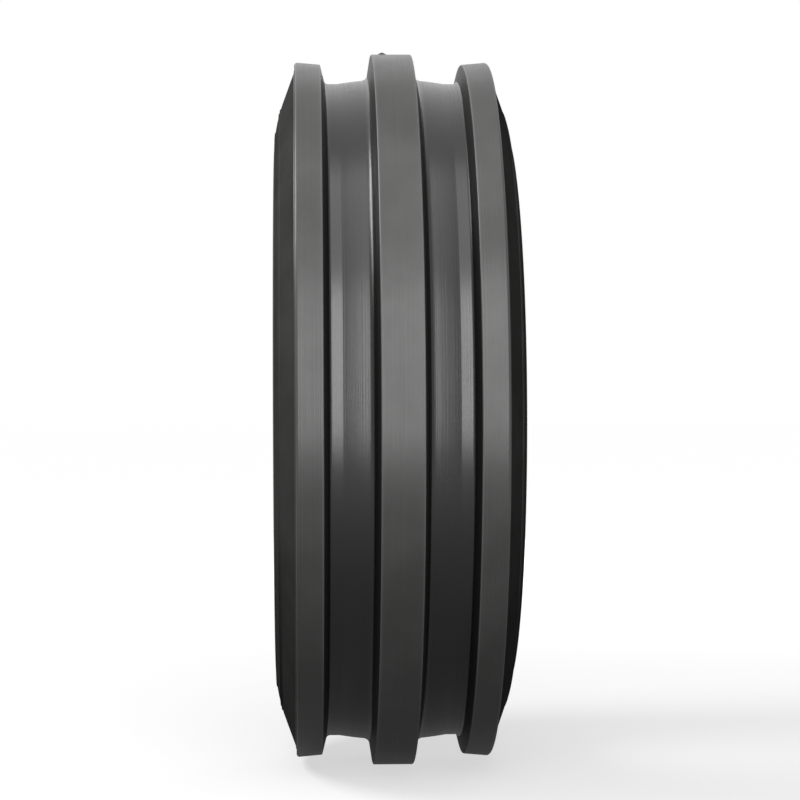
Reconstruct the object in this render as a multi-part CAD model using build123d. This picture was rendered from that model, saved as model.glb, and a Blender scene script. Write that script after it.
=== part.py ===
"""Three-rib implement tyre of the 9.5L-15 class, as a bare bias-ply casing.

The tyre turns about the Y axis, with its centre at the origin and +Z up.
Every layer is a half section drawn as (lateral, radius) and revolved about Y.
The casing line is the outer face of the outermost ply: a crown arc, a shoulder
arc, a lower arc and a straight run to the bead. All fabric layers are parallel
offsets of that line, so neighbouring layers share their boundary.
"""

import os
from math import acos, asin, atan2, cos, degrees, hypot, radians, sin, sqrt, tan

from build123d import *

# Outside of the tyre, in mm
overall_diameter = 770.0
section_width = 251.2
tread_width = 207.0
tread_edge_drop = 8.5
shoulder_step = 9.7

# Shape of the outside, as shares of its own spans
widest_share = 0.446
shoulder_fullness = 0.55
shoulder_rise = 0.63

# Ribs and grooves of the tread
center_rib_width = 42.4
side_rib_width = 27.5
side_rib_lean = 2.4
groove_depth = 26.6
groove_floor_radius = 332.0
center_rib_draft = 9.0
side_rib_draft = 14.0
rib_edge_radius = 1.2
rib_shoulder_radius = 3.0
center_rib_root_radius = 6.0
side_rib_root_radius = 4.5

# Rim side: bead seat of a 15 inch rim, 8 inches between its flanges
bead_seat_diameter = 380.2
rim_width = 203.0
bead_land_length = 14.0
bead_heel_radius = 6.5
bead_toe_taper = 5.0
bead_toe_radius = 1.5
flange_height = 17.0
flange_fillet_radius = 14.0
rim_line_rise = 8.0
rim_line_radius = 1.1

# Rubber and fabric thicknesses
tread_base_gauge = 2.0
undertread_gauge = 3.0
breaker_gauge = 1.5
ply_count = 4
ply_gauge = 1.2
liner_gauge = 1.5
sidewall_gauge = 6.0
chafer_gauge = 1.1
flipper_gauge = 0.9
rim_strip_base_gauge = 2.4
rim_strip_side_gauge = 2.6
bead_toe_gauge = 1.2
filler_tail_gauge = 1.0

# Casing line and bead core
casing_crown_radius = 320.0
casing_corner_share = 0.353
bead_blend_radius = 18.0
bead_wire_pitch = 1.7
bead_wire_cover_radius = 1.0
bead_wrap_gauge = 0.7
bead_wrap_clearance = 0.1

# Ends of the layers: insets from the tread edge, angles and lengths at the sides
breaker_1_inset = 23.5
breaker_2_inset = 15.5
undertread_inset = 6.5
sidewall_joint_share = 0.75
turnup_end_angle = 10.0
turnup_step_angle = 5.0
filler_end_angle = 6.0
flipper_leg = 6.0
chafer_end_turn = 12.0
rim_strip_joint_rise = 4.0

# Radii and half widths of the outside
outer_radius = overall_diameter / 2
half_width = section_width / 2
half_tread = tread_width / 2
seat_radius = bead_seat_diameter / 2
half_rim = rim_width / 2
widest_radius = seat_radius + widest_share * (outer_radius - seat_radius)
floor_radius = outer_radius - groove_depth

# Bead core: a hexagonal bundle of wire, its wrap and the flipper round both
bundle_reach = 2 * bead_wire_pitch + bead_wire_cover_radius
wrap_radius = bundle_reach + bead_wrap_gauge
pocket_radius = wrap_radius + bead_wrap_clearance
core_radius = pocket_radius + flipper_gauge
plies_gauge = ply_count * ply_gauge
liner_offset = plies_gauge + liner_gauge
bead_cover = plies_gauge + chafer_gauge
core_lateral = half_rim - rim_strip_side_gauge - bead_cover - core_radius
core_height = seat_radius + rim_strip_base_gauge + bead_cover + core_radius
core = (core_lateral, core_height)
toe_lateral = core_lateral - core_radius - liner_offset - bead_toe_gauge

# Crown and shoulder arcs of the casing line, tangent to each other
cushion_gauge = 2 * breaker_gauge + undertread_gauge
crown_height = floor_radius - tread_base_gauge - cushion_gauge
casing_half_width = half_width - sidewall_gauge
crown_center = (0.0, crown_height - casing_crown_radius)
center_rise = widest_radius - crown_center[1]
shoulder_radius = (
    (casing_crown_radius**2 - casing_half_width**2 - center_rise**2)
    / (2 * (casing_crown_radius - casing_half_width))
)
shoulder_center = (casing_half_width - shoulder_radius, widest_radius)
shoulder_turn = degrees(atan2(center_rise, shoulder_center[0]))
crown_end = casing_crown_radius * cos(radians(shoulder_turn))

# Straight run of the casing line, from the corner under the widest place to the bead core
corner_drop = casing_corner_share * (widest_radius - core_height)
corner_out = casing_half_width - core_lateral
corner_up = widest_radius - corner_drop - core_height
lean = degrees(atan2(corner_out, corner_up) + asin(core_radius / hypot(corner_out, corner_up)))
lean_cos = cos(radians(lean))
lean_sin = sin(radians(lean))
lower_radius = corner_drop / tan(radians(lean / 2))
lower_center = (casing_half_width - lower_radius, widest_radius)

# Where the turned-up plies bend from the bead core back to the casing line
run_place = lower_center[0] * lean_cos - lower_center[1] * lean_sin + lower_radius
blend_lateral = core_lateral + core_radius + bead_blend_radius
blend_height = (
    (blend_lateral * lean_cos - run_place - filler_tail_gauge - bead_blend_radius) / lean_sin
)
blend = (blend_lateral, blend_height)
rise_radius = lower_radius + filler_tail_gauge


def at(center, radius, angle):
    """Point at an angle in degrees on a circle."""
    lateral = center[0] + radius * cos(radians(angle))
    return (lateral, center[1] + radius * sin(radians(angle)))


def arc(center, radius, start, end):
    """Circular edge from one angle to another, in degrees."""
    return CenterArc(center, radius, start, end - start)


def across(center, radius_a, radius_b, angle):
    """Short edge square across a layer."""
    return Line(at(center, radius_a, angle), at(center, radius_b, angle))


def upper_place(lateral):
    """Arc of the casing line over a lateral place: its centre, radius and angle there."""
    if lateral < crown_end:
        center, radius = crown_center, casing_crown_radius
    else:
        center, radius = shoulder_center, shoulder_radius
    return center, radius, degrees(acos((lateral - center[0]) / radius))


def upper_run(rise, start, end):
    """Casing line between two lateral places, moved outwards by rise."""
    first_center, first_radius, first_angle = upper_place(start)
    last_center, last_radius, last_angle = upper_place(end)
    if first_center == last_center:
        return [arc(first_center, first_radius + rise, first_angle, last_angle)]
    return [
        arc(first_center, first_radius + rise, first_angle, shoulder_turn),
        arc(last_center, last_radius + rise, shoulder_turn, last_angle),
    ]


def upper_end(low, high, lateral):
    """Edge across the layers over the casing line, at a lateral place."""
    center, radius, angle = upper_place(lateral)
    return across(center, radius + low, radius + high, angle)


def middle_edge(low, high):
    """Edge across the layers on the tyre's middle plane, by their radii."""
    return Line((0, low), (0, high))


def lower_run(inset):
    """Casing line from the widest place down to the bead core, moved inwards by inset."""
    foot = at(lower_center, lower_radius - inset, -lean)
    return [
        arc(lower_center, lower_radius - inset, 0, -lean),
        Line(foot, at(core, core_radius + inset, 180 - lean)),
    ]


def core_run(outset, turn):
    """Way round the bead core and up to the bend, moved outwards by outset."""
    side = core_lateral + core_radius + outset
    return [
        arc(core, core_radius + outset, 180 - lean, 360),
        Line((side, core_height), (side, blend_height)),
        arc(blend, bead_blend_radius - outset, 180, 180 - turn),
    ]


def rise_run(outset, start_turn, end_angle):
    """Way from the bend back up along the casing line, moved outwards by outset."""
    bend_end = at(blend, bead_blend_radius - outset, 180 - lean)
    edges = [Line(bend_end, at(lower_center, rise_radius + outset, -lean))]
    if start_turn < lean:
        edges.append(arc(blend, bead_blend_radius - outset, 180 - start_turn, 180 - lean))
    if end_angle < lean:
        edges.append(arc(lower_center, rise_radius + outset, -lean, -end_angle))
    return edges


def turnup_end(number):
    """Angle below the widest place at which a ply's turn-up ends."""
    return turnup_end_angle + turnup_step_angle * (ply_count - number)


def crown_band(low, high, lateral):
    """Strip over the crown, from low to high above the casing line."""
    edges = upper_run(low, 0, lateral) + upper_run(high, 0, lateral)
    edges.append(upper_end(low, high, lateral))
    edges.append(middle_edge(crown_height + low, crown_height + high))
    return make_face(edges)


def undertread_section():
    """Cushion gum over both breakers and round their stepped edges."""
    edges = upper_run(2 * breaker_gauge, 0, breaker_1_end)
    edges += upper_run(breaker_gauge, breaker_1_end, breaker_2_end)
    edges += upper_run(0, breaker_2_end, undertread_end)
    edges += upper_run(cushion_gauge, 0, undertread_end)
    edges.append(upper_end(breaker_gauge, 2 * breaker_gauge, breaker_1_end))
    edges.append(upper_end(0, breaker_gauge, breaker_2_end))
    edges.append(upper_end(0, cushion_gauge, undertread_end))
    edges.append(middle_edge(crown_height + 2 * breaker_gauge, crown_height + cushion_gauge))
    return make_face(edges)


def ply_section(number):
    """One ply, counted from the inside, with its turn-up round the bead."""
    near = (ply_count - number) * ply_gauge
    far = near + ply_gauge
    end_angle = turnup_end(number)
    edges = [middle_edge(crown_height - near, crown_height - far)]
    edges.append(across(lower_center, rise_radius + near, rise_radius + far, -end_angle))
    for offset in (near, far):
        edges += upper_run(-offset, 0, casing_half_width)
        edges += lower_run(offset) + core_run(offset, lean) + rise_run(offset, lean, end_angle)
    return make_face(edges)


def liner_section():
    """Inner liner, from the middle to the bead core."""
    edges = [middle_edge(crown_height - plies_gauge, crown_height - liner_offset)]
    edges.append(across(core, core_radius + plies_gauge, core_radius + liner_offset, 180 - lean))
    for offset in (plies_gauge, liner_offset):
        edges += upper_run(-offset, 0, casing_half_width) + lower_run(offset)
    return make_face(edges)


def chafer_section():
    """Fabric chafer strip round the bead, outside the plies."""
    near = plies_gauge
    far = bead_cover
    edges = core_run(near, chafer_end_turn) + core_run(far, chafer_end_turn)
    edges.append(across(core, core_radius + near, core_radius + far, 180 - lean))
    blend_near = bead_blend_radius - near
    edges.append(across(blend, blend_near, bead_blend_radius - far, 180 - chafer_end_turn))
    return make_face(edges)


def up_the_run(radius):
    """Point up the straight run beside the bead core, where the flipper's inner leg ends."""
    root = at(core, radius, 180 - lean)
    return (root[0] + flipper_leg * lean_sin, root[1] + flipper_leg * lean_cos)


def flipper_legs():
    """Outline of the flipper's two ends, inner leg first."""
    side = core_lateral + pocket_radius
    inner = [
        Line(at(core, pocket_radius, 180 - lean), up_the_run(pocket_radius)),
        Line(up_the_run(pocket_radius), up_the_run(core_radius)),
    ]
    outer = [
        Line((side, core_height), (side, blend_height)),
        Line((side, blend_height), (core_lateral + core_radius, blend_height)),
    ]
    return inner + outer


def flipper_section():
    """Fabric strip folded round the bead core, open towards the filler."""
    side = core_lateral + core_radius
    edges = flipper_legs()
    edges.append(arc(core, pocket_radius, 180 - lean, 360))
    edges.append(arc(core, core_radius, 180 - lean, 360))
    edges.append(Line(at(core, core_radius, 180 - lean), up_the_run(core_radius)))
    edges.append(Line((side, core_height), (side, blend_height)))
    return make_face(edges)


def bundle_edges(side):
    """Upper (side 1) or lower (side -1) half outline of the hexagonal wire bundle."""
    edges = []
    corners = [at(core, 2 * bead_wire_pitch, side * turn) for turn in (0, 60, 120, 180)]
    facings = [side * turn for turn in (0, 30, 90, 150, 180)]
    for number, corner in enumerate(corners):
        edges.append(arc(corner, bead_wire_cover_radius, facings[number], facings[number + 1]))
    for number in range(3):
        facing = facings[number + 1]
        start = at(corners[number], bead_wire_cover_radius, facing)
        edges.append(Line(start, at(corners[number + 1], bead_wire_cover_radius, facing)))
    return edges


def shelf(radius):
    """Edges at the height of the core's middle, from the bundle out to a radius."""
    return [
        Line((core_lateral - radius, core_height), (core_lateral - bundle_reach, core_height)),
        Line((core_lateral + bundle_reach, core_height), (core_lateral + radius, core_height)),
    ]


def wire_section():
    """Hexagonal bundle of bead wire, five wires across its middle row, with its rubber cover."""
    hexagon = RegularPolygon(2 * bead_wire_pitch, 6)
    return Pos(*core) * offset(hexagon, bead_wire_cover_radius, kind=Kind.ARC)


def wrap_section():
    """Tape under the lower half of the wire bundle."""
    return make_face([arc(core, wrap_radius, 180, 360)] + shelf(wrap_radius) + bundle_edges(-1))


def filler_section():
    """Rubber wedge over the bead core, with a thin tail between casing line and turn-ups."""
    side = core_lateral + core_radius
    edges = flipper_legs() + shelf(pocket_radius) + bundle_edges(1)
    edges.append(arc(core, pocket_radius, 180 - lean, 180))
    edges.append(Line(up_the_run(core_radius), at(lower_center, lower_radius, -lean)))
    edges.append(arc(lower_center, lower_radius, -lean, -filler_end_angle))
    edges.append(across(lower_center, lower_radius, rise_radius, -filler_end_angle))
    edges.append(arc(blend, bead_blend_radius, 180, 180 - lean))
    return make_face(edges + rise_run(0, lean, filler_end_angle))


def floor_point(lateral):
    """Point on the arched floor of the grooves."""
    height = sqrt(groove_floor_radius**2 - lateral**2)
    return (lateral, floor_radius - groove_floor_radius + height)


def round_corner(face, corner, radius):
    """Face with one of its corners rounded."""
    vertex = face.vertices().sort_by_distance((corner[0], corner[1], 0))[0]
    return fillet(vertex, radius)


def upright_arc(side, widest):
    """Centre and radius of the arc from a point to the widest point, where it runs upright."""
    reach = widest[0] - side[0]
    radius = (reach**2 + (side[1] - widest[1]) ** 2) / (2 * reach)
    return (widest[0] - radius, widest[1]), radius


def tread_section():
    """Tread from the middle to the shoulder bend, over the cushion gum and the casing."""
    rib_edge = (center_rib_width / 2, outer_radius)
    rib_root = floor_point(rib_edge[0] + groove_depth * tan(radians(center_rib_draft)))
    side_edge = (half_tread - side_rib_width, shoulder_edge[1] - side_rib_lean)
    drop = side_edge[1] - floor_point(side_edge[0])[1]
    side_root = floor_point(side_edge[0] - drop * tan(radians(side_rib_draft)))
    floor_middle = floor_point((rib_root[0] + side_root[0]) / 2)
    edges = [
        middle_edge(crown_height + cushion_gauge, outer_radius),
        Polyline((0, outer_radius), rib_edge, rib_root),
        ThreePointArc(rib_root, floor_middle, side_root),
        Polyline(side_root, side_edge, shoulder_edge, shoulder_foot, shoulder_bend, joint_foot),
        upper_end(0, cushion_gauge, undertread_end),
    ]
    edges += upper_run(0, undertread_end, joint_foot[0])
    edges += upper_run(cushion_gauge, 0, undertread_end)
    face = make_face(edges)
    roundings = [
        (rib_edge, rib_edge_radius),
        (rib_root, center_rib_root_radius),
        (side_root, side_rib_root_radius),
        (side_edge, rib_edge_radius),
        (shoulder_edge, rib_shoulder_radius),
    ]
    for corner, radius in roundings:
        face = round_corner(face, corner, radius)
    return face


def turnup_steps():
    """Outer side of the stepped turn-ups and the filler's tail, from the rim strip to the tail."""
    edges = rise_run(plies_gauge, lean, turnup_end(1))
    for number in range(1, ply_count + 1):
        low = (ply_count - number) * ply_gauge
        high = low + ply_gauge
        edges.append(across(lower_center, rise_radius + low, rise_radius + high, -turnup_end(number)))
        end = turnup_end(number + 1) if number < ply_count else filler_end_angle
        edges.append(arc(lower_center, rise_radius + low, -turnup_end(number), -end))
    edges.append(across(lower_center, lower_radius, rise_radius, -filler_end_angle))
    return edges[1:]


def sidewall_section():
    """Sidewall rubber from the shoulder bend to the rim strip, with the moulded rim line."""
    upper_center, upper_radius = upright_arc(shoulder_bend, widest)
    bend_angle = degrees(asin((shoulder_bend[1] - widest_radius) / upper_radius))
    line_angle = degrees(asin((widest_radius - strip_top[1] - rim_line_rise) / skin_radius))
    half_line = degrees(2 * asin(rim_line_radius / (2 * skin_radius)))
    strip_angle = degrees(asin((widest_radius - strip_top[1]) / skin_radius))
    line_start = at(skin_center, skin_radius, half_line - line_angle)
    line_crest = at(skin_center, skin_radius + rim_line_radius, -line_angle)
    line_end = at(skin_center, skin_radius, -half_line - line_angle)
    edges = turnup_steps() + [
        arc(upper_center, upper_radius, bend_angle, 0),
        arc(skin_center, skin_radius, 0, half_line - line_angle),
        ThreePointArc(line_start, line_crest, line_end),
        arc(skin_center, skin_radius, -half_line - line_angle, -strip_angle),
        Line(strip_top, strip_foot),
        arc(lower_center, lower_radius, 0, -filler_end_angle),
        Line(joint_foot, shoulder_bend),
    ]
    return make_face(edges + upper_run(0, joint_foot[0], casing_half_width))


def rim_strip_section():
    """Hard rubber over the bead, from the toe round the heel to the sidewall."""
    flange = (half_rim, seat_radius + flange_height)
    heel = (half_rim, seat_radius)
    land_end = (half_rim - bead_heel_radius - bead_land_length, seat_radius)
    toe_drop = (land_end[0] - toe_lateral) * tan(radians(bead_toe_taper))
    toe = (toe_lateral, seat_radius - toe_drop)
    toe_top = (toe_lateral, (toe_lateral * lean_cos - run_place + liner_offset) / lean_sin)
    strip_angle = degrees(asin((widest_radius - strip_top[1]) / skin_radius))
    flange_angle = degrees(asin((widest_radius - flange[1]) / skin_radius))
    near = bead_blend_radius - plies_gauge
    liner_end = at(core, core_radius + liner_offset, 180 - lean)
    edges = core_run(bead_cover, chafer_end_turn) + rise_run(plies_gauge, chafer_end_turn, lean)
    edges += [
        across(blend, near, near - chafer_gauge, 180 - chafer_end_turn),
        across(core, core_radius + bead_cover, core_radius + liner_offset, 180 - lean),
        Polyline(liner_end, toe_top, toe, land_end, heel, flange),
        arc(skin_center, skin_radius, -flange_angle, -strip_angle),
        Line(strip_top, strip_foot),
    ]
    face = make_face(edges)
    roundings = [(flange, flange_fillet_radius), (heel, bead_heel_radius), (toe, bead_toe_radius)]
    for corner, radius in roundings:
        face = round_corner(face, corner, radius)
    return face


# Ends of the strips over the crown
breaker_1_end = half_tread - breaker_1_inset
breaker_2_end = half_tread - breaker_2_inset
undertread_end = half_tread - undertread_inset

# Points on the outside that neighbouring pieces share
widest = (half_width, widest_radius)
shoulder_edge = (half_tread, outer_radius - tread_edge_drop)
shoulder_foot = (half_tread, shoulder_edge[1] - shoulder_step)
shoulder_bend = (
    half_tread + shoulder_fullness * (half_width - half_tread),
    widest_radius + shoulder_rise * (shoulder_foot[1] - widest_radius),
)
joint_angle = sidewall_joint_share * min(upper_place(undertread_end)[2], shoulder_turn)
joint_foot = at(shoulder_center, shoulder_radius, joint_angle)
skin_center, skin_radius = upright_arc((half_rim, seat_radius + flange_height), widest)
strip_foot = at(lower_center, rise_radius + plies_gauge, -lean)
strip_height = strip_foot[1] + rim_strip_joint_rise
strip_reach = sqrt(skin_radius**2 - (widest_radius - strip_height) ** 2)
strip_top = (skin_center[0] + strip_reach, strip_height)


def both_sides(half):
    """Half section joined to its mirror image across the middle plane."""
    return half + mirror(half, about=Plane.YZ)


def ring(section):
    """Section turned once round the tyre's axis."""
    return revolve(Plane.YZ * section, axis=Axis.Y)


def write(shape, name):
    """Save one piece as its own file."""
    shape.label = name
    export_step(shape, f"parts/{name}.step")


os.makedirs("parts", exist_ok=True)

middle_sections = {
    "tread": tread_section(),
    "undertread": undertread_section(),
    "breaker_1": crown_band(breaker_gauge, 2 * breaker_gauge, breaker_1_end),
    "breaker_2": crown_band(0, breaker_gauge, breaker_2_end),
    "inner_liner": liner_section(),
}
for ply_number in range(1, ply_count + 1):
    middle_sections[f"ply_{ply_number}"] = ply_section(ply_number)
for name, section in middle_sections.items():
    write(ring(both_sides(section)), name)

side_sections = {
    "sidewall": sidewall_section(),
    "rim_strip": rim_strip_section(),
    "chafer": chafer_section(),
    "flipper": flipper_section(),
    "bead_filler": filler_section(),
    "bead_wrap": wrap_section(),
    "bead_wire": wire_section(),
}
for name, section in side_sections.items():
    write(ring(section), f"{name}_right")
    write(ring(mirror(section, about=Plane.YZ)), f"{name}_left")
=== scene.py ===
"""Looks of a bare three-rib implement tyre, built round its fixed CAD frame.

The tyre turns about Y. Each rubber part that shows is a closed outline of
(lateral, radius) points carried once round that axis.
"""
import math

import bpy
import numpy as np
from mathutils import Matrix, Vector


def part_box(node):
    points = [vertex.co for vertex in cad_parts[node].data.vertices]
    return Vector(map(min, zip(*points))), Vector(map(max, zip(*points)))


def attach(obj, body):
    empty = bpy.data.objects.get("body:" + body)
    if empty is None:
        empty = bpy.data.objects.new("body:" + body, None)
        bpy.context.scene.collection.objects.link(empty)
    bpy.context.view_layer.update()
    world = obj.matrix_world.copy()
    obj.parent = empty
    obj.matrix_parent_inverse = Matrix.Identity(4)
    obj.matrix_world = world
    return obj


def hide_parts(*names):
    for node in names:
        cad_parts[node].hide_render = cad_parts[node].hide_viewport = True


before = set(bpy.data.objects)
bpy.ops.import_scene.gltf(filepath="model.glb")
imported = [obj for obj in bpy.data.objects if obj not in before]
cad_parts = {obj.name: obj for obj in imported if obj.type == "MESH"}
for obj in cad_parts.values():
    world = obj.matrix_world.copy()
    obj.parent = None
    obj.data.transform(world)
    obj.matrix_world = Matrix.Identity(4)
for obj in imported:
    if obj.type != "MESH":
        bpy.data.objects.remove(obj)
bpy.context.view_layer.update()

# Sizes of the tyre, in metres, the first two read from the frame
OUTER_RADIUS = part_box("tread")[1].z
HALF_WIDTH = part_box("sidewall_right")[1].y
SEAT_RADIUS = 0.1901
WIDEST_SHARE = 0.446
WIDEST_RADIUS = SEAT_RADIUS + WIDEST_SHARE * (OUTER_RADIUS - SEAT_RADIUS)

# Ribs and grooves of the tread
CENTER_RIB_WIDTH = 0.0424
SIDE_RIB_WIDTH = 0.0275
SIDE_RIB_LEAN = 0.0024
HALF_TREAD = 0.1035
TREAD_EDGE_DROP = 0.0085
GROOVE_DEPTH = 0.0266
GROOVE_FLOOR_RADIUS = 0.332
FLOOR_LAND_START = 0.0572
CENTER_RIB_DRAFT = 9.0
SIDE_RIB_DRAFT = 14.0
RIB_EDGE_RADIUS = 0.0012
RIB_SHOULDER_RADIUS = 0.003
CENTER_ROOT_RADIUS = 0.008
SIDE_ROOT_RADIUS = 0.0045

# Shoulder, sidewall and bead
SHOULDER_STEP = 0.0097
SHOULDER_FULLNESS = 0.55
SHOULDER_RISE = 0.63
SHOULDER_RING_RADIUS = 0.0007
HALF_RIM = 0.1015
FLANGE_HEIGHT = 0.017
FLANGE_FILLET = 0.014
HEEL_RADIUS = 0.0065
LAND_LENGTH = 0.014
TOE_TAPER = 5.0
TOE_ROUNDING = 0.0015
RIM_LINE_RISE = 0.008

# Small rings moulded into the outside: heights in metres, places along the arcs in degrees,
# foot and crest as shares of the height
RING_FOOT = 1.6
RING_CREST = 0.8
UPPER_RING_HEIGHT = 0.0007
UPPER_RING_DROPS = (3.0, 4.6, 12.0)
LOWER_RING_HEIGHT = 0.0009
LOWER_RING_RISES = (9.0, 7.0)
RIM_LINE_HEIGHT = 0.0014
STRIP_RING_HEIGHT = 0.0004
STRIP_RING_DROPS = (2.2, 4.0, 5.8)
STRIP_ARC_END = 9.0

# Vent stubs on the middle rib
STUB_TURNS = (7.6, 187.6)
STUB_LATERAL = -0.0094
STUB_REACH = 0.0052
STUB_HEIGHT = 0.0022
STUB_SUNK = 0.0003
STUB_SIDES = 24
STUB_RINGS = 9

# Fabrics and the liner. Cords lie a spacing apart on a ring, at a slant in degrees. The
# other patterns give the waves round the tyre, and the phase for each metre across it.
CORD_RING_RADIUS = 0.33
CORD_SPACING = 0.0012
CORD_SLANT = 36.0
WEAVE_ROUND, WEAVE_ACROSS = 1500.0, 6000.0
LINER_LINES_ROUND, LINER_LINES_ACROSS = 90.0, 150.0

# Where the tread's finishes change, and how far the painted highlight along an edge reaches
STEEP_SHARE = 0.55
FLANK_FOOT_SHARE = 0.3
EDGE_HIGHLIGHT_REACH = 0.0013

# Gauges of the layers behind the visible rubber
CUSHION_GAUGE = 0.006
TREAD_BASE_GAUGE = 0.002
PLY_COUNT = 4
PLY_GAUGE = 0.0012
LINER_GAUGE = 0.0015
SIDEWALL_GAUGE = 0.006
CHAFER_GAUGE = 0.0011
TOE_GAUGE = 0.0012
TAIL_GAUGE = 0.001
CORE_RADIUS = 0.0061
STRIP_SIDE_GAUGE = 0.0026
STRIP_BASE_GAUGE = 0.0024
BLEND_RADIUS = 0.018

# Casing line and the ends of the layers, angles in degrees
CROWN_RADIUS = 0.32
CORNER_SHARE = 0.353
UNDERTREAD_INSET = 0.0065
SIDEWALL_JOINT_SHARE = 0.75
TURNUP_END = 10.0
TURNUP_STEP = 5.0
FILLER_END = 6.0
CHAFER_END_TURN = 12.0
STRIP_JOINT_RISE = 0.004

# Fineness of the meshes: arc steps in degrees, the others in metres
TREAD_SEGMENTS = 288
SIDE_SEGMENTS = 360
ARC_STEP = 9.0
RINGED_STEP = 2.0
CROWN_STEP = 2.0
UNDER_STEP = 3.0
CASING_STEP = 4.0
LONGEST_STEP = 0.006
EDGE_STEPS = (0.0004, 0.0014)
SHORTEST_STEP = 1e-7
SHARP_ANGLE = math.radians(35)

# Viewpoint of the photograph
LENS = 119.61
SENSOR_WIDTH = 36.0
CAMERA_OFFSET = (-0.010786, 2.9093, -0.010126)
CAMERA_YAW = math.radians(2.172)
CAMERA_ROLL = 0.003513

# Studio. The camera sees the floor in its tone, and other light in its bounce. The floor
# also glows, from a paleness near the tyre to nearly white far from it; the lower glow near
# the tyre is a painted shadow, and in what the tyre mirrors a painted shade. Each softbox has
# an azimuth from the camera towards +Y, an elevation, a distance, a width and height, and a
# power.
FLOOR_HALF_SIZE = 40.0
FLOOR_BOUNCE, FLOOR_TONE = 0.08, 0.3
FLOOR_NEAR = 0.4
FLOOR_WHITE = 0.98
SEEN_FLOOR = {"far": 3.0, "paleness": 0.62}
MIRRORED_FLOOR = {"far": 1.1, "paleness": 0.15}
PLAIN_LIGHT = 0.04
SOFTBOXES = {
    "front_box": (0.0, 14.0, 1.7, (0.65, 1.6), 23.5),
    "top_box": (0.0, 66.0, 4.0, (2.2, 3.3), 48.0),
    "left_box": (-86.0, 44.0, 2.2, (1.2, 1.2), 50.0),
    "back_box": (155.0, 2.0, 4.5, (2.0, 1.8), 180.0),
}


# The casing line, as part of the tyre's half section

FLOOR_RADIUS = OUTER_RADIUS - GROOVE_DEPTH
PLIES_GAUGE = PLY_COUNT * PLY_GAUGE
LINER_OFFSET = PLIES_GAUGE + LINER_GAUGE
BEAD_COVER = PLIES_GAUGE + CHAFER_GAUGE
CORE = (
    HALF_RIM - STRIP_SIDE_GAUGE - BEAD_COVER - CORE_RADIUS,
    SEAT_RADIUS + STRIP_BASE_GAUGE + BEAD_COVER + CORE_RADIUS,
)
TOE_LATERAL = CORE[0] - CORE_RADIUS - LINER_OFFSET - TOE_GAUGE
CROWN_HEIGHT = FLOOR_RADIUS - TREAD_BASE_GAUGE - CUSHION_GAUGE
CASING_HALF = HALF_WIDTH - SIDEWALL_GAUGE
CROWN_CENTER = (0.0, CROWN_HEIGHT - CROWN_RADIUS)
CENTER_RISE = WIDEST_RADIUS - CROWN_CENTER[1]
SHOULDER_RADIUS = (CROWN_RADIUS**2 - CASING_HALF**2 - CENTER_RISE**2) / (
    2 * (CROWN_RADIUS - CASING_HALF)
)
SHOULDER_CENTER = (CASING_HALF - SHOULDER_RADIUS, WIDEST_RADIUS)
SHOULDER_TURN = math.degrees(math.atan2(CENTER_RISE, SHOULDER_CENTER[0]))
CORNER_DROP = CORNER_SHARE * (WIDEST_RADIUS - CORE[1])
CORNER_OUT = CASING_HALF - CORE[0]
CORNER_UP = WIDEST_RADIUS - CORNER_DROP - CORE[1]
LEAN = math.degrees(
    math.atan2(CORNER_OUT, CORNER_UP)
    + math.asin(CORE_RADIUS / math.hypot(CORNER_OUT, CORNER_UP))
)
LEAN_COS = math.cos(math.radians(LEAN))
LEAN_SIN = math.sin(math.radians(LEAN))
LOWER_RADIUS = CORNER_DROP / math.tan(math.radians(LEAN / 2))
LOWER_CENTER = (CASING_HALF - LOWER_RADIUS, WIDEST_RADIUS)
RISE_RADIUS = LOWER_RADIUS + TAIL_GAUGE
RUN_PLACE = LOWER_CENTER[0] * LEAN_COS - LOWER_CENTER[1] * LEAN_SIN + LOWER_RADIUS
BLEND_LATERAL = CORE[0] + CORE_RADIUS + BLEND_RADIUS
BLEND = (
    BLEND_LATERAL,
    (BLEND_LATERAL * LEAN_COS - RUN_PLACE - TAIL_GAUGE - BLEND_RADIUS) / LEAN_SIN,
)


def at(center, radius, turn):
    """Point on a circle: centre plus radius times (cos, sin) of the turn in degrees."""
    angle = math.radians(turn)
    return (center[0] + radius * math.cos(angle), center[1] + radius * math.sin(angle))


def bow(center, radius, start, end, step=ARC_STEP):
    """Points along an arc, evenly from one turn to the other, no further apart than the step."""
    count = max(2, math.ceil(abs(end - start) / step) + 1)
    angles = np.radians(np.linspace(start, end, count))
    return np.stack([center[0] + radius * np.cos(angles), center[1] + radius * np.sin(angles)], 1)


def rounded(corners):
    """Path through (lateral, radius, rounding) corners.

    A corner with a rounding becomes an arc that touches both its sides: it starts and
    ends at rounding times the tangent of half the turn from the corner.
    """
    points = np.array([corner[:2] for corner in corners], float)
    path = [points[:1]]
    for number in range(1, len(corners) - 1):
        here, rounding = points[number], corners[number][2]
        into = here - points[number - 1]
        away = points[number + 1] - here
        into, away = into / np.linalg.norm(into), away / np.linalg.norm(away)
        bend = math.atan2(into[0] * away[1] - into[1] * away[0], into @ away)
        if rounding == 0 or abs(bend) < 1e-6:
            path.append(here[None])
            continue
        reach = rounding * math.tan(abs(bend) / 2)
        side = math.copysign(1.0, bend)
        center = here - into * reach + side * rounding * np.array([-into[1], into[0]])
        start = math.degrees(math.atan2(-side * into[0], side * into[1]))
        path.append(bow(center, rounding, start, start + math.degrees(bend)))
    path.append(points[-1:])
    return np.concatenate(path)


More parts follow.
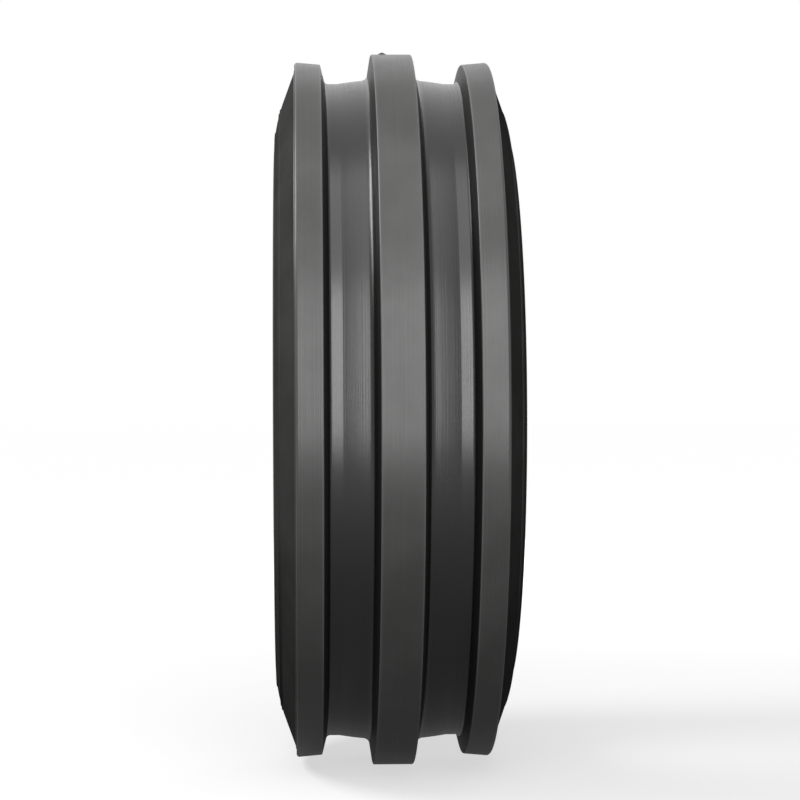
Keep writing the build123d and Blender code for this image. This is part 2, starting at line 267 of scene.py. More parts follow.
def evened(path):
    """Path with more points on its long straights: some near each end, and even steps between."""
    pieces = [path[:1]]
    for start, end in zip(path[:-1], path[1:]):
        length = np.linalg.norm(end - start)
        shares = np.ones(1)
        if length > 3 * EDGE_STEPS[-1]:
            near = np.array(EDGE_STEPS) / length
            count = math.ceil(length / LONGEST_STEP) + 1
            even = np.linspace(near[-1], 1 - near[-1], max(2, count))
            shares = np.concatenate([near[:-1], even, 1 - near[-2::-1], [1.0]])
        pieces.append(start + shares[:, None] * (end - start))
    return np.concatenate(pieces)


def mirrored(path):
    """Path on the other side of the middle plane, run the other way round."""
    return path[::-1] * np.array([-1.0, 1.0])


def turned(name, outline, segments, marks=None, zones=None):
    """Closed outline carried once round the Y axis.

    At turn a, an outline point (lateral, radius) is at (radius sin a, lateral, radius cos a).
    The attribute "across" holds the way along the outline, in metres. The marks give more
    attributes, and the zones the number of each face's material, both from the outline.
    """
    gaps = np.linalg.norm(np.roll(outline, -1, 0) - outline, axis=1)
    outline = outline[gaps > SHORTEST_STEP]
    lateral, radius = outline.T
    if np.sum(lateral * np.roll(radius, -1) - np.roll(lateral, -1) * radius) > 0:
        outline = outline[::-1]
        lateral, radius = outline.T
    gaps = np.linalg.norm(np.roll(outline, -1, 0) - outline, axis=1)
    turns = np.linspace(0, 2 * math.pi, segments, endpoint=False)
    places = np.empty((segments, len(outline), 3))
    places[..., 0] = np.sin(turns)[:, None] * radius
    places[..., 1] = lateral
    places[..., 2] = np.cos(turns)[:, None] * radius
    rows = np.arange(segments)[:, None] * len(outline)
    next_rows = np.roll(rows, -1, 0)
    columns = np.arange(len(outline))
    next_columns = np.roll(columns, -1)
    quads = np.stack(
        [rows + columns, rows + next_columns, next_rows + next_columns, next_rows + columns], -1
    )
    values = {"across": np.append(0.0, np.cumsum(gaps)[:-1])}
    values.update({mark: rule(outline) for mark, rule in (marks or {}).items()})
    tiled = {mark: np.tile(value, segments) for mark, value in values.items()}
    made = piece(name, places.reshape(-1, 3), quads.reshape(-1, 4), tiled)
    if zones:
        numbers = np.tile(zones(outline), segments).astype(np.int32)
        made.data.polygons.foreach_set("material_index", numbers)
    return made


def piece(name, places, quads, marks):
    """Mesh object at the origin from arrays of places, four-sided faces and attributes."""
    mesh = bpy.data.meshes.new(name)
    mesh.vertices.add(len(places))
    mesh.vertices.foreach_set("co", places.astype(np.float32).ravel())
    mesh.loops.add(quads.size)
    mesh.loops.foreach_set("vertex_index", quads.astype(np.int32).ravel())
    mesh.polygons.add(len(quads))
    mesh.polygons.foreach_set("loop_start", np.arange(0, quads.size, 4, dtype=np.int32))
    mesh.polygons.foreach_set("use_smooth", np.ones(len(quads), bool))
    mesh.update(calc_edges=True)
    for mark, value in marks.items():
        mesh.attributes.new(mark, "FLOAT", "POINT").data.foreach_set(
            "value", value.astype(np.float32)
        )
    mesh.set_sharp_from_angle(angle=SHARP_ANGLE)
    made = bpy.data.objects.new(name, mesh)
    bpy.context.scene.collection.objects.link(made)
    return made


def floor_point(lateral):
    """Point on the arched floor of the grooves, a circle that is highest in the middle."""
    drop = GROOVE_FLOOR_RADIUS - math.sqrt(GROOVE_FLOOR_RADIUS**2 - lateral**2)
    return (lateral, FLOOR_RADIUS - drop)


def upright_arc(side, widest):
    """Centre and radius of the arc from a point to the widest point, where it runs upright."""
    reach = widest[0] - side[0]
    radius = (reach**2 + (side[1] - widest[1]) ** 2) / (2 * reach)
    return (widest[0] - radius, widest[1]), radius


def over_casing(lateral):
    """Centre, radius and turn of the casing line's arc over a lateral place."""
    if lateral < CROWN_RADIUS * math.cos(math.radians(SHOULDER_TURN)):
        center, radius = CROWN_CENTER, CROWN_RADIUS
    else:
        center, radius = SHOULDER_CENTER, SHOULDER_RADIUS
    return center, radius, math.degrees(math.acos((lateral - center[0]) / radius))


# Points on the outside that neighbouring pieces share
WIDEST = (HALF_WIDTH, WIDEST_RADIUS)
SHOULDER_EDGE = (HALF_TREAD, OUTER_RADIUS - TREAD_EDGE_DROP)
SHOULDER_FOOT = (HALF_TREAD, SHOULDER_EDGE[1] - SHOULDER_STEP)
SHOULDER_BEND = (
    HALF_TREAD + SHOULDER_FULLNESS * (HALF_WIDTH - HALF_TREAD),
    WIDEST_RADIUS + SHOULDER_RISE * (SHOULDER_FOOT[1] - WIDEST_RADIUS),
)
UNDERTREAD_END = HALF_TREAD - UNDERTREAD_INSET
JOINT_TURN = SIDEWALL_JOINT_SHARE * min(over_casing(UNDERTREAD_END)[2], SHOULDER_TURN)
JOINT_FOOT = at(SHOULDER_CENTER, SHOULDER_RADIUS, JOINT_TURN)
FLANGE = (HALF_RIM, SEAT_RADIUS + FLANGE_HEIGHT)
SKIN_CENTER, SKIN_RADIUS = upright_arc(FLANGE, WIDEST)
STRIP_FOOT = at(LOWER_CENTER, RISE_RADIUS + PLIES_GAUGE, -LEAN)
STRIP_HEIGHT = STRIP_FOOT[1] + STRIP_JOINT_RISE
UPPER_CENTER, UPPER_RADIUS = upright_arc(SHOULDER_BEND, WIDEST)
BEND_TURN = math.degrees(math.asin((SHOULDER_BEND[1] - WIDEST_RADIUS) / UPPER_RADIUS))
DULL_BAND_FOOT = at(UPPER_CENTER, UPPER_RADIUS, BEND_TURN - UPPER_RING_DROPS[-1])[1]


def skin_turn(height):
    """Turn below the widest point at which the lower sidewall is at a height."""
    return math.degrees(math.asin((WIDEST_RADIUS - height) / SKIN_RADIUS))


STRIP_TURN = skin_turn(STRIP_HEIGHT)


def ringed_arc(center, radius, start, end, rings):
    """Arc from a higher to a lower turn with small raised rings, given as (turn, height).

    Seen across, a ring is a low trapezium: up, along its crest and down again. The widths
    of its foot and crest on each side of the middle are shares of its height.
    """
    reached, path = start, []
    for turn, height in rings:
        unit = math.degrees(height / radius)
        foot, crest = RING_FOOT * unit, RING_CREST * unit
        path += [
            bow(center, radius, reached, turn + foot, RINGED_STEP),
            np.array([
                at(center, radius + height, turn + crest),
                at(center, radius + height, turn - crest),
                at(center, radius, turn - foot),
            ]),
        ]
        reached = turn - foot
    path.append(bow(center, radius, reached, end, RINGED_STEP))
    return np.concatenate(path)


def tread_outline():
    """Three ribs over two arched groove floors, with the shoulder slopes and the casing side.

    Each floor ends in a level land beside the side rib. A small rounded ring, sized by its
    radius, stands where the shoulder's step meets the slope.
    """
    rib_edge = (CENTER_RIB_WIDTH / 2, OUTER_RADIUS)
    rib_root = floor_point(rib_edge[0] + GROOVE_DEPTH * math.tan(math.radians(CENTER_RIB_DRAFT)))
    side_edge = (HALF_TREAD - SIDE_RIB_WIDTH, SHOULDER_EDGE[1] - SIDE_RIB_LEAN)
    land = floor_point(FLOOR_LAND_START)
    root_reach = (side_edge[1] - land[1]) * math.tan(math.radians(SIDE_RIB_DRAFT))
    side_root = (side_edge[0] - root_reach, land[1])
    floor = [floor_point(x) + (0,) for x in np.linspace(rib_root[0], land[0], 6)[1:]]
    ring = SHOULDER_RING_RADIUS
    corners = [
        (0.0, OUTER_RADIUS, 0),
        (*rib_edge, RIB_EDGE_RADIUS),
        (*rib_root, CENTER_ROOT_RADIUS),
        *floor,
        (*side_root, SIDE_ROOT_RADIUS),
        (*side_edge, RIB_EDGE_RADIUS),
        (*SHOULDER_EDGE, RIB_SHOULDER_RADIUS),
        (HALF_TREAD, SHOULDER_FOOT[1] + 1.4 * ring, 0),
        (HALF_TREAD + ring, SHOULDER_FOOT[1] + 0.7 * ring, ring / 3),
        (HALF_TREAD + 1.1 * ring, SHOULDER_FOOT[1] - 0.6 * ring, ring / 3),
        (HALF_TREAD + 0.5 * ring, SHOULDER_FOOT[1] - 1.37 * ring, 0),
        (*SHOULDER_BEND, 0),
        (*JOINT_FOOT, 0),
    ]
    outside = evened(rounded(corners))
    center, radius, turn = over_casing(UNDERTREAD_END)
    first_end, high = min(turn, SHOULDER_TURN), CROWN_RADIUS + CUSHION_GAUGE
    under = [bow(SHOULDER_CENTER, SHOULDER_RADIUS, JOINT_TURN, first_end, UNDER_STEP)]
    if center == CROWN_CENTER:
        under.append(bow(CROWN_CENTER, CROWN_RADIUS, SHOULDER_TURN, turn, UNDER_STEP))
        under.append(bow(CROWN_CENTER, high, turn, 90, UNDER_STEP))
    else:
        side = SHOULDER_RADIUS + CUSHION_GAUGE
        under.append(bow(SHOULDER_CENTER, side, turn, SHOULDER_TURN, UNDER_STEP))
        under.append(bow(CROWN_CENTER, high, SHOULDER_TURN, 90, UNDER_STEP))
    half = np.concatenate([outside, *under])
    half[-1, 0] = 0.0
    return np.concatenate([half, mirrored(half[1:-1])])


def tread_zones(outline):
    """Material of the face after each outline point.

    0 is a rib top, 1 a groove flank, 2 a groove floor and 3 a shoulder slope.
    """
    way = np.roll(outline, -1, 0) - outline
    lateral, radius = (outline + way / 2).T
    steep = np.abs(way[:, 0]) < STEEP_SHARE * np.linalg.norm(way, axis=1)
    outer = np.abs(lateral) > HALF_TREAD - RIB_SHOULDER_RADIUS
    low = radius < FLOOR_RADIUS + FLANK_FOOT_SHARE * GROOVE_DEPTH
    return np.where(steep, np.where(outer, 3, 1), np.where(low & ~outer, 2, 0))


def sidewall_zones(outline):
    """Material of the face after each outline point: 1 on the dull band under the shoulder."""
    return np.where(outline[:, 1] > DULL_BAND_FOOT, 1, 0)


def painted_edge_highlight(outline):
    """Painted edge highlight: a bell curve of the distance from the nearest edge of a rib."""
    corners = [
        (CENTER_RIB_WIDTH / 2, OUTER_RADIUS),
        (HALF_TREAD - SIDE_RIB_WIDTH, SHOULDER_EDGE[1] - SIDE_RIB_LEAN),
        SHOULDER_EDGE,
    ]
    folded = np.abs(outline)
    distances = [np.linalg.norm(folded - np.array(corner), axis=1) for corner in corners]
    return np.exp(-((np.min(distances, axis=0) / EDGE_HIGHLIGHT_REACH) ** 2))


def no_painted_edge_highlight(outline):
    """No painted edge highlight."""
    return np.zeros(len(outline))


def turnup_end(number):
    """Turn below the widest place at which a ply's turn-up ends."""
    return TURNUP_END + TURNUP_STEP * (PLY_COUNT - number)


def sidewall_outline():
    """Sidewall from the shoulder bend to the rim strip, over the stepped turn-ups."""
    upper_rings = [(BEND_TURN - drop, UPPER_RING_HEIGHT) for drop in UPPER_RING_DROPS]
    line_turn = -skin_turn(STRIP_HEIGHT + RIM_LINE_RISE)
    lower_rings = [(line_turn + rise, LOWER_RING_HEIGHT) for rise in LOWER_RING_RISES]
    lower_rings.append((line_turn, RIM_LINE_HEIGHT))
    steps = [np.array([STRIP_FOOT])]
    for number in range(1, PLY_COUNT + 1):
        low = RISE_RADIUS + (PLY_COUNT - number) * PLY_GAUGE
        start = -LEAN if number == 1 else -turnup_end(number - 1)
        steps.append(bow(LOWER_CENTER, low + PLY_GAUGE, start, -turnup_end(number)))
    steps.append(bow(LOWER_CENTER, RISE_RADIUS, -turnup_end(PLY_COUNT), -FILLER_END))
    return np.concatenate([
        ringed_arc(UPPER_CENTER, UPPER_RADIUS, BEND_TURN, 0.0, upper_rings),
        ringed_arc(SKIN_CENTER, SKIN_RADIUS, 0.0, -STRIP_TURN, lower_rings),
        *steps,
        bow(LOWER_CENTER, LOWER_RADIUS, -FILLER_END, 0),
        bow(SHOULDER_CENTER, SHOULDER_RADIUS, 0, JOINT_TURN),
        np.array([SHOULDER_BEND]),
    ])


def rim_strip_outline():
    """Hard rubber over the bead, from the toe round the heel and the flange to the sidewall."""
    heel = (HALF_RIM, SEAT_RADIUS)
    land_end = (HALF_RIM - HEEL_RADIUS - LAND_LENGTH, SEAT_RADIUS)
    toe_drop = (land_end[0] - TOE_LATERAL) * math.tan(math.radians(TOE_TAPER))
    toe = (TOE_LATERAL, SEAT_RADIUS - toe_drop)
    toe_top = (TOE_LATERAL, (TOE_LATERAL * LEAN_COS - RUN_PLACE + LINER_OFFSET) / LEAN_SIN)
    flange_turn = skin_turn(FLANGE[1])
    rings = [(-STRIP_TURN - drop, STRIP_RING_HEIGHT) for drop in STRIP_RING_DROPS]
    skin = ringed_arc(SKIN_CENTER, SKIN_RADIUS, -STRIP_TURN, -flange_turn + STRIP_ARC_END, rings)
    corners = [
        (*skin[-1], 0),
        (*FLANGE, 0.8 * FLANGE_FILLET),
        (*heel, HEEL_RADIUS),
        (*land_end, 0),
        (*toe, TOE_ROUNDING),
        (*toe_top, 0),
        (*at(CORE, CORE_RADIUS + LINER_OFFSET, 180 - LEAN), 0),
    ]
    side = CORE[0] + CORE_RADIUS + BEAD_COVER
    return np.concatenate([
        skin,
        evened(rounded(corners)),
        bow(CORE, CORE_RADIUS + BEAD_COVER, 180 - LEAN, 360),
        np.array([[side, BLEND[1]]]),
        bow(BLEND, BLEND_RADIUS - BEAD_COVER, 180, 180 - CHAFER_END_TURN),
        bow(BLEND, BLEND_RADIUS - PLIES_GAUGE, 180 - CHAFER_END_TURN, 180 - LEAN),
        np.array([STRIP_FOOT]),
    ])


def casing_run(inset):
    """Casing line moved inwards by an inset, from the middle of the crown to the bead core."""
    return np.concatenate([
        bow(CROWN_CENTER, CROWN_RADIUS - inset, 90, SHOULDER_TURN, CROWN_STEP),
        bow(SHOULDER_CENTER, SHOULDER_RADIUS - inset, SHOULDER_TURN, 0, CASING_STEP),
        bow(LOWER_CENTER, LOWER_RADIUS - inset, 0, -LEAN, CASING_STEP),
        np.array([at(CORE, CORE_RADIUS + inset, 180 - LEAN)]),
    ])


def liner_outline():
    """Airtight layer between two parallel runs of the casing line."""
    half = np.concatenate([casing_run(LINER_OFFSET), casing_run(PLIES_GAUGE)[::-1]])
    half[[0, -1], 0] = 0.0
    return np.concatenate([half, mirrored(half[1:-1])])


def vent_stubs():
    """Low stubs that the mould's air vents leave on the middle rib.

    Over a share r of its reach from the axis, a stub is as high as the cosine of r quarter
    turns to the power 1.5. Its lowest ring is sunk into the rib.
    """
    around = np.linspace(0, 2 * math.pi, STUB_SIDES, endpoint=False)
    shares = np.linspace(1, 0, STUB_RINGS)
    rises = np.cos(shares * math.pi / 2) ** 1.5 * STUB_HEIGHT
    rises[0] = -STUB_SUNK
    columns = np.arange(STUB_SIDES)
    after = np.roll(columns, -1)
    places, quads = [], []
    for number, turn in enumerate(np.radians(STUB_TURNS)):
        up = np.array([math.sin(turn), 0, math.cos(turn)])
        along = np.array([math.cos(turn), 0, -math.sin(turn)])
        side = np.array([0, 1.0, 0])
        center = OUTER_RADIUS * up + STUB_LATERAL * side
        ring = np.cos(around)[:, None] * along + np.sin(around)[:, None] * side
        reaches = shares * STUB_REACH
        rows = center + rises[:, None, None] * up + reaches[:, None, None] * ring
        low = (number * STUB_RINGS + np.arange(STUB_RINGS - 1)[:, None]) * STUB_SIDES
        high = low + STUB_SIDES
        places.append(rows.reshape(-1, 3))
        quads.append(np.stack([low + columns, high + columns, high + after, low + after], -1))
    places = np.concatenate(places)
    nothing = np.zeros(len(places))
    quads = np.concatenate(quads).reshape(-1, 4)
    return piece("vent_stubs", places, quads, {"across": nothing, "painted_edge_highlight": nothing})


# Materials

class Nodes:
    """A node tree, with short ways to add to it."""

    def __init__(self, tree):
        self.tree = tree

    def add(self, kind, **settings):
        """New node, with its own settings by name."""
        node = self.tree.nodes.new(kind)
        for name, value in settings.items():
            setattr(node, name, value)
        return node

    def join(self, source, target):
        """Link from an output to an input."""
        self.tree.links.new(source, target)

    def calc(self, operation, *values):
        """Math node over values or outputs."""
        node = self.add("ShaderNodeMath", operation=operation)
        for number, value in enumerate(values):
            if isinstance(value, (int, float)):
                node.inputs[number].default_value = value
            else:
                self.join(value, node.inputs[number])
        return node.outputs["Value"]

    def spread(self, value, low, high, to_low, to_high):
        """Value carried from one range to another, held at its ends."""
        node = self.add("ShaderNodeMapRange")
        self.join(value, node.inputs["Value"])
        for name, number in zip(("From Min", "From Max", "To Min", "To Max"),
                                (low, high, to_low, to_high)):
            node.inputs[name].default_value = number
        return node.outputs["Result"]

    def seen_by(self, *rays):
        """Share that is 1 for these kinds of rays, and 0 for the plain light on the object."""
        path = self.add("ShaderNodeLightPath")
        share = path.outputs[rays[0]]
        for ray in rays[1:]:
            share = self.calc("MAXIMUM", share, path.outputs[ray])
        return share


class Finish(Nodes):
    """A material with one Principled shader over the object's own coordinates."""

    def __init__(self, name, roughness, specular=0.5):
        self.material = bpy.data.materials.new(name)
        self.material.use_nodes = True
        super().__init__(self.material.node_tree)
        self.shader = self.tree.nodes["Principled BSDF"]
        self.shader.inputs["Roughness"].default_value = roughness
        self.shader.inputs["Specular IOR Level"].default_value = specular
        self.places = self.add("ShaderNodeTexCoord").outputs["Object"]

    def noise(self, scale, detail, roughness=0.5):
        """Noise over the object's own coordinates, in features per metre."""
        node = self.add("ShaderNodeTexNoise")
        node.inputs["Scale"].default_value = scale
        node.inputs["Detail"].default_value = detail
        node.inputs["Roughness"].default_value = roughness
        self.join(self.places, node.inputs["Vector"])
        return node.outputs["Fac"]

    def mark(self, name):
        """One of the piece's own attributes."""
        return self.add("ShaderNodeAttribute", attribute_name=name).outputs["Fac"]

    def streaks(self, scale, detail=6.0):
        """Noise that changes only across the outline, so it draws rings round the tyre."""
        node = self.add("ShaderNodeTexNoise", noise_dimensions="1D")
        node.inputs["Scale"].default_value = scale
        node.inputs["Detail"].default_value = detail
        self.join(self.mark("across"), node.inputs["W"])
        return node.outputs["Fac"]

    def turn_and_lateral(self):
        """The turn round the tyre in radians, and the lateral place in metres."""
        split = self.add("ShaderNodeSeparateXYZ")
        self.join(self.places, split.inputs["Vector"])
        turn = self.calc("ARCTAN2", split.outputs["X"], split.outputs["Z"])
        return turn, split.outputs["Y"]

    def blend(self, share, first, second):
        """Colour between two colours, by a share."""
        node = self.add("ShaderNodeMix", data_type="RGBA")
        self.join(share, node.inputs["Factor"])
        for name, colour in (("A", first), ("B", second)):
            socket = next(s for s in node.inputs if s.name == name and s.type == "RGBA")
            if isinstance(colour, tuple):
                socket.default_value = (*colour, 1.0)
            else:
                self.join(colour, socket)
        return next(s for s in node.outputs if s.type == "RGBA")

    def relief(self, height, depth, before=None):
        """Bump of a real depth in metres from a height of 0 to 1."""
        node = self.add("ShaderNodeBump")
        node.inputs["Distance"].default_value = depth
        self.join(height, node.inputs["Height"])
        if before:
            self.join(before, node.inputs["Normal"])
        return node.outputs["Normal"]

    def finish(self, colour, roughness=None, normal=None):
        """Join the colour, roughness and normal to the shader, and give the material."""
        self.join(colour, self.shader.inputs["Base Color"])
        if roughness:
            self.join(roughness, self.shader.inputs["Roughness"])
        if normal:
            self.join(normal, self.shader.inputs["Normal"])
        return self.material


def mould_tone(made, streak_share):
    """Share from 0 to 1 for moulded rubber: clouds, mixed with broken turning marks."""
    clouds = made.spread(made.noise(14.0, 5.0, 0.6), 0.35, 0.65, 0.0, 1.0)
    rings = made.spread(made.streaks(620.0), 0.35, 0.65, 0.0, 1.0)
    broken = made.spread(made.noise(7.0, 2.0), 0.35, 0.65, 0.15, 1.0)
    marks = made.calc("MULTIPLY", rings, broken)
    return made.calc("ADD", made.calc("MULTIPLY", clouds, 1.0 - streak_share),
                     made.calc("MULTIPLY", marks, streak_share))


def mould_grain(made):
    """Relief of moulded rubber: a fine grain under shallow turning marks."""
    grain = made.relief(made.noise(2600.0, 3.0), 0.00006)
    return made.relief(made.streaks(700.0, 4.0), 0.0001, grain)


def paint_edge_highlight(made, colour):
    """Colour with a painted highlight: a lighter line along the rounded edges of the ribs."""
    share = made.calc("MULTIPLY", made.mark("painted_edge_highlight"), 0.8)
    # Painted highlight: the rib edges blend towards this lighter grey
    return made.blend(share, colour, (0.10, 0.10, 0.098))


def rubber(name, dark, light, roughness, specular, streaks=0.45):
    """Moulded rubber, whose tone and roughness both follow the clouds and turning marks.

    The roughness runs from its first value on dark places to its second on light ones, and
    streaks is the share of the turning marks.
    """
    made = Finish(name, roughness[0], specular)
    tone = mould_tone(made, streaks)
    colour = made.blend(tone, dark, light)
    return made, colour, made.spread(tone, 0.0, 1.0, *roughness)


def tread_finish(name, **tones):
    """Rubber of the tread, with a painted highlight along its rib edges."""
    made, colour, gloss = rubber(name, **tones)
    return made.finish(paint_edge_highlight(made, colour), gloss, mould_grain(made))


def sidewall_finish(name):
    """Charcoal rubber of the sidewalls and rim strips, with turning marks round it."""
    made, colour, gloss = rubber(
        name, dark=(0.020, 0.020, 0.0195), light=(0.034, 0.034, 0.0335),
        roughness=(0.62, 0.50), specular=0.20, streaks=0.55,
    )
    return made.finish(colour, gloss, mould_grain(made))


def gum_rubber(name, dark, light):
    """Matt uncured-looking gum with a soft mottle."""
    made = Finish(name, 0.62, 0.4)
    colour = made.blend(made.noise(60.0, 4.0), dark, light)
    return made.finish(colour, None, made.relief(made.noise(900.0, 2.0), 0.0001))


def cord_fabric(name, slant, spacing):
    """Rubbered cords side by side: a sine of the turn and the lateral place, at a slant."""
    made = Finish(name, 0.6, 0.4)
    turn, lateral = made.turn_and_lateral()
    slant = math.radians(slant)
    round_tyre = round(2 * math.pi * CORD_RING_RADIUS * math.cos(slant) / spacing)
    over_width = 2 * math.pi * math.sin(slant) / spacing
    phase = made.calc("ADD", made.calc("MULTIPLY", turn, float(round_tyre)),
                      made.calc("MULTIPLY", lateral, over_width))
    wave = made.spread(made.calc("SINE", phase), -1.0, 1.0, 0.0, 1.0)
    colour = made.blend(wave, (0.055, 0.045, 0.038), (0.13, 0.095, 0.065))
    return made.finish(colour, None, made.relief(wave, 0.0002))


def woven_fabric(name):
    """Square weave: the product of a sine round the tyre and one across it."""
    made = Finish(name, 0.65, 0.35)
    turn, lateral = made.turn_and_lateral()
    warp = made.calc("SINE", made.calc("MULTIPLY", turn, WEAVE_ROUND))
    weft = made.calc("SINE", made.calc("MULTIPLY", lateral, WEAVE_ACROSS))
    weave = made.spread(made.calc("MULTIPLY", warp, weft), -1.0, 1.0, 0.0, 1.0)
    colour = made.blend(weave, (0.05, 0.047, 0.044), (0.11, 0.1, 0.09))
    return made.finish(colour, None, made.relief(weave, 0.00015))


def bead_steel(name):
    """Bronze-plated wire: a fine grain over a mottled plating."""
    made = Finish(name, 0.35)
    made.shader.inputs["Metallic"].default_value = 1.0
    colour = made.blend(made.noise(120.0, 4.0), (0.5, 0.37, 0.22), (0.62, 0.48, 0.33))
    gloss = made.spread(made.noise(400.0, 3.0), 0.3, 0.7, 0.28, 0.45)
    return made.finish(colour, gloss, made.relief(made.noise(1800.0, 2.0), 0.00004))


def bladder_rubber(name):
    """Smooth liner with the slanted fine lines that the curing bladder leaves."""
    made = Finish(name, 0.5, 0.45)
    turn, lateral = made.turn_and_lateral()
    phase = made.calc("ADD", made.calc("MULTIPLY", turn, LINER_LINES_ROUND),
                      made.calc("MULTIPLY", lateral, LINER_LINES_ACROSS))
    lines = made.spread(made.calc("SINE", phase), 0.93, 1.0, 0.0, 1.0)
    colour = made.blend(made.noise(20.0, 5.0), (0.035, 0.035, 0.036), (0.06, 0.06, 0.061))
    grain = made.relief(made.noise(1500.0, 2.0), 0.00006)
    return made.finish(colour, None, made.relief(lines, 0.0005, grain))


top_rubber = tread_finish(
    "rib_top_rubber", dark=(0.038, 0.038, 0.037), light=(0.059, 0.059, 0.058),
    roughness=(0.35, 0.29), specular=0.32,
)
# Groove flanks: near-black colour, painted shade of the groove sides, which the ribs shadow
flank_painted_shade = tread_finish(
    "groove_flank_painted_shade", dark=(0.004, 0.004, 0.0035), light=(0.008, 0.008, 0.0075),
    roughness=(0.5, 0.42), specular=0.25,
)
floor_rubber = tread_finish(
    "groove_floor_rubber", dark=(0.003, 0.003, 0.003), light=(0.007, 0.007, 0.007),
    roughness=(0.28, 0.18), specular=0.5, streaks=0.7,
)
shoulder_rubber = tread_finish(
    "shoulder_rubber", dark=(0.034, 0.034, 0.033), light=(0.052, 0.052, 0.051),
    roughness=(0.7, 0.6), specular=0.0,
)
sidewall_rubber = sidewall_finish("sidewall_rubber")
liner_rubber = bladder_rubber("liner_rubber")


def settle(made, material, slot, *nodes):
    """Give a piece its finish and its body, and let it stand for its CAD nodes."""
    made.data.materials.append(material)
    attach(made, "root")
    if nodes:
        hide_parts(*nodes)


def place_rubber():
    """Every rubber piece that shows, in place of its CAD node."""
    # The tread carries the share of a painted highlight along its rib edges
    tread = turned("tread_skin", tread_outline(), TREAD_SEGMENTS, {"painted_edge_highlight": painted_edge_highlight},
                   tread_zones)
    settle(tread, top_rubber, "tread_rubber", "tread")
    for finish in (flank_painted_shade, floor_rubber, shoulder_rubber):
        tread.data.materials.append(finish)
    side, strip = sidewall_outline(), rim_strip_outline()
    for name, turn_over in (("right", False), ("left", True)):
        flank = mirrored(side) if turn_over else side
        edge = mirrored(strip) if turn_over else strip
        wall = turned(f"sidewall_skin_{name}", flank, SIDE_SEGMENTS, {"painted_edge_highlight": no_painted_edge_highlight},
                      sidewall_zones)
        settle(wall, sidewall_rubber, "sidewall_rubber", f"sidewall_{name}")
        wall.data.materials.append(shoulder_rubber)
        settle(turned(f"rim_strip_skin_{name}", edge, SIDE_SEGMENTS), sidewall_rubber,
               "sidewall_rubber", f"rim_strip_{name}")
    settle(turned("liner_skin", liner_outline(), SIDE_SEGMENTS), liner_rubber, "liner_rubber",
           "inner_liner")
    settle(vent_stubs(), top_rubber, "tread_rubber")


def dress_hidden_layers():
    """Finishes for the CAD nodes sealed inside the casing."""
    gum = gum_rubber("cushion_gum", (0.035, 0.034, 0.033), (0.055, 0.052, 0.05))
    cords = [cord_fabric("cords_one_way", CORD_SLANT, CORD_SPACING),
             cord_fabric("cords_other_way", -CORD_SLANT, CORD_SPACING)]
    weave = woven_fabric("square_woven_fabric")
    steel = bead_steel("bead_wire_steel")
    finishes = {"undertread": gum, "breaker_1": cords[0], "breaker_2": cords[1]}
    for number in range(1, PLY_COUNT + 1):
        finishes[f"ply_{number}"] = cords[number % 2]
    for side in ("left", "right"):
        finishes[f"chafer_{side}"] = weave
        finishes[f"flipper_{side}"] = weave
        finishes[f"bead_wrap_{side}"] = weave
        finishes[f"bead_filler_{side}"] = gum
        finishes[f"bead_wire_{side}"] = steel
    for name, material in finishes.items():
        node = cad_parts[name]
        node.data.materials.clear()
        node.data.materials.append(material)


def place_camera():
    """Camera of the photograph: yaw and roll of a level camera, solved from the tyre's edges."""
    yaw_cos, yaw_sin = math.cos(CAMERA_YAW), math.sin(CAMERA_YAW)
    roll_cos, roll_sin = math.cos(CAMERA_ROLL), math.sin(CAMERA_ROLL)
    turn = np.array([
        [roll_cos * yaw_cos, -yaw_sin, -roll_sin * yaw_cos],
        [roll_cos * yaw_sin, yaw_cos, -roll_sin * yaw_sin],
        [roll_sin, 0.0, roll_cos],
    ])
    to_row = np.array([[0.0, -1.0, 0.0], [1.0, 0.0, 0.0], [0.0, 0.0, 1.0]])
    place = to_row @ (-turn.T @ np.array(CAMERA_OFFSET))
    right, forward, up = (to_row @ axis for axis in turn)
    data = bpy.data.cameras.new("camera")
    data.lens, data.sensor_width = LENS, SENSOR_WIDTH
    camera = bpy.data.objects.new("camera", data)
    matrix = np.eye(4)
    matrix[:3, 0], matrix[:3, 1], matrix[:3, 2], matrix[:3, 3] = right, up, -forward, place
    camera.matrix_world = Matrix(matrix.tolist())
    bpy.context.scene.collection.objects.link(camera)
    bpy.context.scene.camera = camera


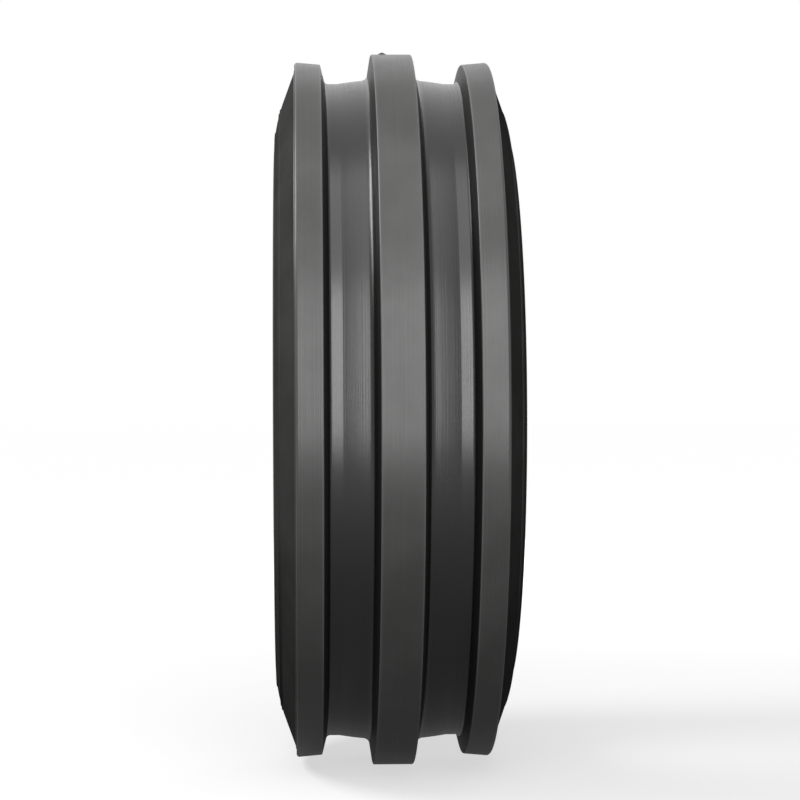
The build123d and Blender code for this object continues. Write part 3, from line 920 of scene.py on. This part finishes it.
def softbox(name, azimuth, elevation, distance, size, power):
    """Area light that faces the middle of the tyre from a direction."""
    a, e = math.radians(azimuth), math.radians(elevation)
    back = np.array([math.cos(a) * math.cos(e), math.sin(a) * math.cos(e), math.sin(e)])
    data = bpy.data.lights.new(name, "AREA")
    data.shape, data.size, data.size_y, data.energy = "RECTANGLE", *size, power
    lamp = bpy.data.objects.new(name, data)
    side = np.array([-math.sin(a), math.cos(a), 0.0])
    matrix = np.eye(4)
    matrix[:3, 0], matrix[:3, 1] = side, np.cross(back, side)
    matrix[:3, 2], matrix[:3, 3] = back, back * distance
    lamp.matrix_world = Matrix(matrix.tolist())
    bpy.context.scene.collection.objects.link(lamp)


def place_floor():
    """Pale floor under the tyre, whose glow follows the distance from the middle of the tyre.

    The camera and gloss see it nearly white far away, and darker near the tyre: that darker
    glow is a painted shadow round the tyre, over the real shadow in its tone. It bounces little
    light up to the tyre.
    """
    corners = np.array([[-1, -1], [1, -1], [1, 1], [-1, 1]]) * FLOOR_HALF_SIZE
    places = np.column_stack([corners, np.full(4, -OUTER_RADIUS)])
    floor = piece("floor", places, np.array([[0, 1, 2, 3]]), {})
    made = Finish("pale_floor", 0.9, 0.0)
    tone = made.spread(made.seen_by("Is Camera Ray"), 0.0, 1.0, FLOOR_BOUNCE, FLOOR_TONE)
    length = made.add("ShaderNodeVectorMath", operation="LENGTH")
    made.join(made.places, length.inputs[0])
    glows = []
    for look, rays in ((SEEN_FLOOR, ("Is Camera Ray",)),
                       (MIRRORED_FLOOR, ("Is Glossy Ray", "Is Transmission Ray"))):
        # Painted shadow: the glow is lower near the tyre, for the camera and in the tyre's
        # reflections
        paleness = made.spread(length.outputs["Value"], FLOOR_NEAR, look["far"],
                               look["paleness"], FLOOR_WHITE)
        glows.append(made.calc("MULTIPLY", made.seen_by(*rays), paleness))
    made.shader.inputs["Emission Color"].default_value = (1.0, 1.0, 1.0, 1.0)
    made.join(made.calc("MAXIMUM", *glows), made.shader.inputs["Emission Strength"])
    floor.data.materials.append(made.finish(tone))


def place_surroundings():
    """World that is white where it is seen or mirrored, and gives a little plain light."""
    world = bpy.data.worlds.new("studio")
    bpy.context.scene.world = world
    world.use_nodes = True
    made = Nodes(world.node_tree)
    background = made.tree.nodes["Background"]
    background.inputs["Color"].default_value = (1.0, 1.0, 1.0, 1.0)
    seen = made.seen_by("Is Camera Ray", "Is Glossy Ray", "Is Transmission Ray")
    made.join(made.spread(seen, 0.0, 1.0, PLAIN_LIGHT, 1.0), background.inputs["Strength"])


place_camera()
place_rubber()
dress_hidden_layers()
place_floor()
place_surroundings()
for name, numbers in SOFTBOXES.items():
    softbox(name, *numbers)
bpy.context.scene.view_settings.view_transform = "Standard"
